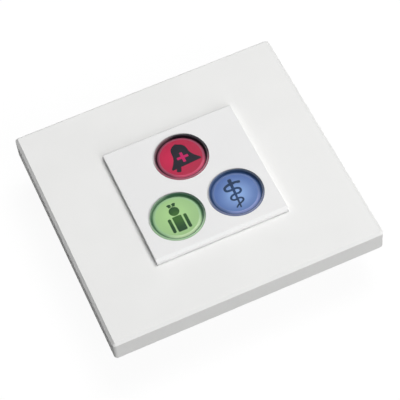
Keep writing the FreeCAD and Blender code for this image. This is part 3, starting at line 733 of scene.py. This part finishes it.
class ButtonLooks(bpy.types.PropertyGroup):
    """Colours of one button, several of them painted light and shade."""

    cap: colour_property("Cap", "Colour of the cap near its rim", (0.5, 0.5, 0.5))
    glow: colour_property("Glow", "Colour of the cap where the light comes through", (0.6, 0.6, 0.6))
    glow_place: place_property("Glow place", "Middle of the glow in millimetres from the cap's middle")
    # Painted shade in the ring wall colour, and painted light in the wall colour for the upper left, where
    # the wall faces the lamps.
    wall: colour_property("Ring wall", "Colour inside the ring", (0.1, 0.1, 0.1))
    painted_lit_wall: colour_property("Painted lit wall", "Colour inside the ring at its upper left", (0.2, 0.2, 0.2))
    # The two lip colours are lit and shaded copies: painted light at the front, painted shade at the back.
    lip: colour_property("Ring lip", "Colour of the ring's thin lip at the front", (0.3, 0.3, 0.3))
    shaded_lip: colour_property("Shaded lip", "Colour of the ring's lip at the back", (0.1, 0.1, 0.1))
    # The shoulder colour is a painted highlight round the cap's face, and the lit shoulder is painted light
    # at the front.
    shoulder: colour_property("Shoulder", "Colour of the cap's shoulder", (0.6, 0.6, 0.6))
    lit_shoulder: colour_property("Lit shoulder", "Colour of the shoulder at the front", (0.7, 0.7, 0.7))
    # A painted glow deep in the ring and at the cap's rim lifts the shade there, standing in for the button's
    # lamps shining through.
    painted_glow: colour_property("Painted glow", "Light that leaks out between the cap and the ring", (0.02, 0.02, 0.02))
    ink: colour_property("Ink", "Colour of the sign", (0.05, 0.05, 0.05))
    lit_ink: colour_property("Lit ink", "Colour of the sign near the cap's middle", (0.08, 0.08, 0.08))


class StageLooks(bpy.types.PropertyGroup):
    """Light and floor."""

    key_level: share_property("Key level", "Light on the module from the lamp above and to its right", 0.665)
    front_level: share_property("Front level", "Light on the module from the lamp in front", 0.68)
    fill_level: share_property("Fill level", "Strength of the light from all round", 0.13)
    floor: colour_property("Floor", "Colour of the floor in the light that it returns", (0.18, 0.18, 0.18))
    floor_white: share_property("Floor white", "How far the floor shows white of its own", 0.92)


# Several button colours are painted light and shade: the ring wall and the shaded lip are painted shade; the
# lip, the wall at the upper left, the shoulder and the lit shoulder are painted light; the glow deep in the
# ring and at the cap's rim is a painted glow.
BUTTON_COLOURS = {
    "red": {
        "cap": shade(180, 24, 67),
        "glow": shade(204, 26, 77),
        "glow_place": (-2.5, 0.5),
        "shoulder": shade(160, 78, 102),
        "lit_shoulder": shade(222, 86, 120),
        "wall": shade(30, 20, 30),
        "painted_lit_wall": shade(108, 80, 88),
        "lip": shade(158, 84, 102),
        "shaded_lip": shade(40, 36, 46),
        "painted_glow": shade(14, 9, 10),
        "ink": shade(27, 23, 36),
        "lit_ink": shade(33, 30, 42),
    },
    "green": {
        "cap": shade(158, 199, 136),
        "glow": shade(172, 214, 144),
        "glow_place": (-0.5, 1.0),
        "shoulder": shade(160, 200, 152),
        "lit_shoulder": shade(212, 240, 192),
        "wall": shade(52, 92, 68),
        "painted_lit_wall": shade(112, 138, 114),
        "lip": shade(156, 192, 150),
        "shaded_lip": shade(54, 80, 66),
        "painted_glow": shade(52, 76, 56),
        "ink": shade(32, 72, 38),
        "lit_ink": shade(60, 106, 44),
    },
    "blue": {
        "cap": shade(72, 106, 170),
        "glow": shade(136, 172, 226),
        "glow_place": (0.2, -0.6),
        "shoulder": shade(100, 122, 170),
        "lit_shoulder": shade(146, 160, 214),
        "wall": shade(40, 62, 92),
        "painted_lit_wall": shade(74, 92, 126),
        "lip": shade(108, 118, 152),
        "shaded_lip": shade(48, 60, 78),
        "painted_glow": shade(33, 50, 80),
        "ink": shade(14, 46, 80),
        "lit_ink": shade(18, 58, 104),
    },
}
PLUS_COLOUR = shade(196, 30, 98)


# Operators, one for each group of pieces. The module's front is a little smoother than the cover.

MOULDED_RELIEF = 0.004 * MM
FRONT_SMOOTHNESS = 0.04
HIDDEN_ROUGHNESS = 0.5


class MouldingsOperator(bpy.types.Operator):
    """Dress the white mouldings: cover, front, mounting frame and housing"""

    bl_idname = "call_module.mouldings"
    bl_label = "White mouldings"

    def execute(self, context):
        looks = context.scene.call_plastic
        grain, relief = looks.grain, MOULDED_RELIEF
        cover = moulded("cover_plastic", looks.cover, looks.roughness, grain, relief)
        fascia = moulded("fascia_plastic", looks.fascia, looks.roughness - FRONT_SMOOTHNESS, grain, relief)
        hidden = moulded("hidden_plastic", looks.hidden, HIDDEN_ROUGHNESS, 2 * grain, 2 * relief, mottle=0.05)
        dress(["cover_frame"], cover)
        dress(["module_fascia"], fascia)
        dress(["mounting_frame", "rear_housing"], hidden)
        return {"FINISHED"}


class RingsOperator(bpy.types.Operator):
    """Build the tinted rings with their rounded lips"""

    bl_idname = "call_module.rings"
    bl_label = "Tinted rings"

    def execute(self, context):
        for colour in COLOURS:
            mesh = turned_mesh(f"{colour}_ring", self.section(colour), middle(f"{colour}_bezel"), RING_STEPS)
            tints = getattr(context.scene, f"call_{colour}")
            ring = new_piece(f"{colour}_ring", mesh, ring_glaze(colour, tints), "module")
            sharpen(ring, SOFT_PIECE_EDGE)
            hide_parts(f"{colour}_bezel")
        return {"FINISHED"}

    def section(self, colour):
        """The ring's section: a flange at its foot, and a lip that is round inside and falls outwards."""
        low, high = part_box(f"{colour}_bezel")
        flange = (high.x - low.x) / 2
        outer = flange - RING_FLANGE
        inner = outer - RING_WALL
        outline = [(inner, low.z)]
        outline += arc((inner + LIP_ROUND, high.z - LIP_ROUND), LIP_ROUND, 180, 90, LIP_ROUND_STEPS)
        for step in range(1, LIP_FALL_STEPS + 1):
            share = step / LIP_FALL_STEPS
            radius = outer - (1 - share) * (RING_WALL - LIP_ROUND)
            outline.append((radius, high.z - LIP_FALL * share**LIP_FALL_POWER))
        outline += [(outer, low.z + RING_FOOT), (flange, low.z + RING_FOOT), (flange, low.z)]
        return outline


class CapsOperator(bpy.types.Operator):
    """Dress the caps and lay their signs in them"""

    bl_idname = "call_module.caps"
    bl_label = "Caps and signs"

    def execute(self, context):
        signs = {"red": bell_sign, "green": nurse_sign, "blue": rod_sign}
        for colour in COLOURS:
            tints = getattr(context.scene, f"call_{colour}")
            dress([f"{colour}_cap"], cap_glaze(colour, tints), CAP_SHOULDER_EDGE)
            holes = plus_sign() if colour == "red" else []
            ink = sign_ink(f"{colour}_ink", tints.ink, tints.lit_ink, middle(f"{colour}_bezel"))
            self.lay_sign(f"{colour}_sign", signs[colour](), holes, colour, ink)
        plus_ink = sign_ink("plus_ink", PLUS_COLOUR, PLUS_COLOUR, middle("red_bezel"))
        self.lay_sign("red_plus", plus_sign(), [], "red", plus_ink)
        return {"FINISHED"}

    def lay_sign(self, name, outlines, holes, colour, ink):
        """A printed sign that lies in the face of a cap."""
        centre = middle(f"{colour}_bezel")
        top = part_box(f"{colour}_cap")[1].z
        mesh = plate_of(name, outlines, holes, centre, top - SIGN_SUNK, top + SIGN_PROUD)
        new_piece(name, mesh, ink, f"{colour}_button")


class InsidesOperator(bpy.types.Operator):
    """Dress what the module holds inside"""

    bl_idname = "call_module.insides"
    bl_label = "Insides"

    def execute(self, context):
        self.buttons()
        self.board()
        self.boots()
        return {"FINISHED"}

    def buttons(self):
        """What each button has under its cap, and the black parts of the board."""
        film = moulded("film_print", shade(222, 224, 222), 0.5, 0.3 * MM, 0.001 * MM)
        opal = moulded("opal_plastic", shade(238, 240, 236), 0.35, 0.3 * MM, 0.001 * MM)
        black = moulded("black_plastic", shade(32, 32, 34), 0.5, 0.15 * MM, 0.003 * MM)
        lamp = moulded("lamp_resin", shade(238, 224, 150), 0.3, 0.4 * MM, 0.002 * MM)
        finishes = {"legend": film, "light_guide": opal, "plunger": black, "switch": black, "leds": lamp}
        for kind, material in finishes.items():
            dress([f"{colour}_{kind}" for colour in COLOURS], material)
        dress(["controller_chip", "bus_driver_chip", "resistors"], black)

    def board(self):
        """The board with its capacitor and terminals, and the screws."""
        resist = moulded("board_resist", shade(22, 92, 58), 0.35, 0.5 * MM, 0.004 * MM, mottle=0.15)
        terminal = moulded("terminal_plastic", shade(112, 118, 120), 0.5, 0.2 * MM, 0.004 * MM)
        can = brushed("can_aluminium", shade(205, 207, 210), 0.3, (1.0, 1.0, 0.1))
        brass = brushed("clamp_brass", shade(206, 172, 96), 0.32, (0.1, 1.0, 1.0))
        steel = brushed("screw_steel", shade(180, 182, 186), 0.35, (1.0, 0.1, 1.0))
        dress(["main_board"], resist)
        dress(["terminal_block"], terminal)
        dress(["smoothing_capacitor"], can)
        dress(["terminal_clamps"], brass)
        dress(["housing_screws", "terminal_screws"], steel)

    def boots(self):
        """Silicone boots with soft edges."""
        silicone = moulded("silicone", shade(206, 206, 200), 0.55, 0.2 * MM, 0.003 * MM)
        for colour in COLOURS:
            low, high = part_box(f"{colour}_boot")
            centre = middle(f"{colour}_boot")
            loops = [self.boot_loop(centre, *point) for point in self.boot_profile(low, high)]
            mesh = lofted_mesh(f"{colour}_silicone_boot", loops)
            piece = new_piece(f"{colour}_silicone_boot", mesh, silicone, "module")
            sharpen(piece, SOFT_PIECE_EDGE)
            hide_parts(f"{colour}_boot")
            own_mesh(piece)

    def boot_profile(self, low, high):
        """The boot's wall as (half width, height) points: up outside, across its tip and down inside."""
        half = (high.x - low.x) / 2
        shoulder = low.z + BOOT_SKIRT
        tip, top = (BOOT_TIP, high.z), (0.0, high.z)
        inner_top = high.z - BOOT_TIP_WALL
        profile = [(half, low.z)]
        profile += soft_corner((half, low.z), (half, shoulder), tip, BOOT_SKIRT_SOFTNESS)
        profile += soft_corner((half, shoulder), tip, top, BOOT_TIP_SOFTNESS)
        profile += [top, (0.0, inner_top), (BOOT_TIP - BOOT_WALL / 2, inner_top)]
        profile += [(half - BOOT_WALL, shoulder - BOOT_WALL / 2), (half - BOOT_WALL, low.z)]
        return profile

    def boot_loop(self, centre, half, height):
        """A square with round corners about the boot's axis, or its middle point where it has no width."""
        if half == 0:
            return [(centre.x, centre.y, height)]
        corner = BOOT_CORNER_SHARE * half
        return [(x, y, height) for x, y in rounded_bar((centre.x, centre.y), 2 * half, 2 * half, corner)]


class StageOperator(bpy.types.Operator):
    """Set the floor, the lamps, the world and the camera"""

    bl_idname = "call_module.stage"
    bl_label = "Studio"

    def execute(self, context):
        looks = context.scene.call_stage
        self.floor(looks)
        self.lamps(looks)
        self.world(context, looks)
        self.camera(context)
        context.scene.view_settings.view_transform = "Standard"
        return {"FINISHED"}

    def floor(self, looks):
        """A floor that looks white and keeps the shadow."""
        mesh = bpy.data.meshes.new("floor")
        form = bmesh.new()
        bmesh.ops.create_grid(form, x_segments=1, y_segments=1, size=FLOOR_HALF)
        bmesh.ops.translate(form, verts=form.verts, vec=(0, 0, CAD_BOX[0][2]))
        form.to_mesh(mesh)
        form.free()
        floor = add_object("floor", mesh)
        recipe = Recipe("floor_white", Roughness=FLOOR_ROUGHNESS, Specular_IOR_Level=0.0)
        recipe.set("Base Color", looks.floor)
        paint = recipe.add("ShaderNodeBsdfDiffuse", None, {"Color": WHITE})
        glow = recipe.add("ShaderNodeEmission", None, {"Strength": FLOOR_GLOW})
        shown = recipe.mix_shaders(looks.floor_white, paint, glow)
        surface = Link(recipe, recipe.shader.outputs[0])
        seen = {"Is Glossy Ray": paint, "Is Transmission Ray": shown, "Is Camera Ray": shown}
        for ray, shader in seen.items():
            surface = recipe.mix_shaders(recipe.seen_by(ray), surface, shader)
        recipe.show("Material Output", surface)
        floor.data.materials.append(recipe.material)

    def lamps(self, looks):
        """Two large soft lamps: one above and to the right, and a lower one in front."""
        above = ("key", KEY_DIRECTION, looks.key_level, LAMP_WIDTH)
        in_front = ("front", FRONT_DIRECTION, looks.front_level, FRONT_LAMP_HEIGHT)
        for name, direction, level, height in (above, in_front):
            lamp = bpy.data.lights.new(name, "AREA")
            lamp.shape = "RECTANGLE"
            lamp.size = LAMP_WIDTH
            lamp.size_y = height
            lamp.energy = level * (math.pi * LAMP_DISTANCE) ** 2
            holder = add_object(name, lamp)
            holder.location = direction.normalized() * LAMP_DISTANCE
            holder.rotation_euler = direction.to_track_quat("Z", "Y").to_euler()

    def world(self, context, looks):
        """White where it is seen, and weaker where it lights."""
        world = bpy.data.worlds.new("studio")
        context.scene.world = world
        world.use_nodes = True
        nodes = Nodes(world.node_tree)
        seen = nodes.seen_by("Is Camera Ray")
        for ray in ("Is Glossy Ray", "Is Transmission Ray"):
            seen = seen.maths("MAXIMUM", seen, nodes.seen_by(ray))
        fill, backdrop = (
            nodes.add("ShaderNodeBackground", None, {"Color": WHITE, "Strength": strength})
            for strength in (looks.fill_level, BACKDROP_LEVEL)
        )
        nodes.show("World Output", nodes.mix_shaders(seen, fill, backdrop))

    def camera(self, context):
        """The photograph's view, from the lower left and well above the plate."""
        data = bpy.data.cameras.new("view")
        data.sensor_width = CAMERA_SENSOR
        data.lens = CAMERA_LENS
        data.clip_start = CAMERA_NEAREST
        camera = add_object("view", data)
        right = CAMERA_FORWARD.cross(CAMERA_UP).normalized()
        up = right.cross(CAMERA_FORWARD).normalized()
        turn = Matrix((right, up, -CAMERA_FORWARD.normalized())).transposed().to_4x4()
        camera.matrix_world = Matrix.Translation(CAMERA_PLACE) @ turn
        context.scene.camera = camera


class LooksPanel(bpy.types.Panel):
    """The steps that dress the module, and what can be changed in them"""

    bl_idname = "VIEW3D_PT_call_module"
    bl_label = "Call module"
    bl_space_type = "VIEW_3D"
    bl_region_type = "UI"
    bl_category = "Call module"

    def draw(self, context):
        for operator in OPERATORS:
            self.layout.operator(operator.bl_idname)
        for group in GROUPS:
            box = self.layout.box()
            settings = getattr(context.scene, group)
            for name in settings.bl_rna.properties.keys():
                if name not in ("rna_type", "name"):
                    box.prop(settings, name)


OPERATORS = (MouldingsOperator, RingsOperator, CapsOperator, InsidesOperator, StageOperator)
GROUPS = {
    "call_plastic": PlasticLooks,
    "call_stage": StageLooks,
    "call_red": ButtonLooks,
    "call_green": ButtonLooks,
    "call_blue": ButtonLooks,
}
CLASSES = (PlasticLooks, ButtonLooks, StageLooks, *OPERATORS, LooksPanel)


def register():
    for item in CLASSES:
        bpy.utils.register_class(item)
    for name, group in GROUPS.items():
        setattr(bpy.types.Scene, name, bpy.props.PointerProperty(type=group))


def unregister():
    for name in GROUPS:
        delattr(bpy.types.Scene, name)
    for item in reversed(CLASSES):
        bpy.utils.unregister_class(item)


def main():
    register()
    scene = bpy.context.scene
    for colour, tints in BUTTON_COLOURS.items():
        looks = getattr(scene, f"call_{colour}")
        for name, value in tints.items():
            setattr(looks, name, value)
    bpy.ops.call_module.mouldings()
    bpy.ops.call_module.rings()
    bpy.ops.call_module.caps()
    bpy.ops.call_module.insides()
    bpy.ops.call_module.stage()


if __name__ == "__main__":
    main()
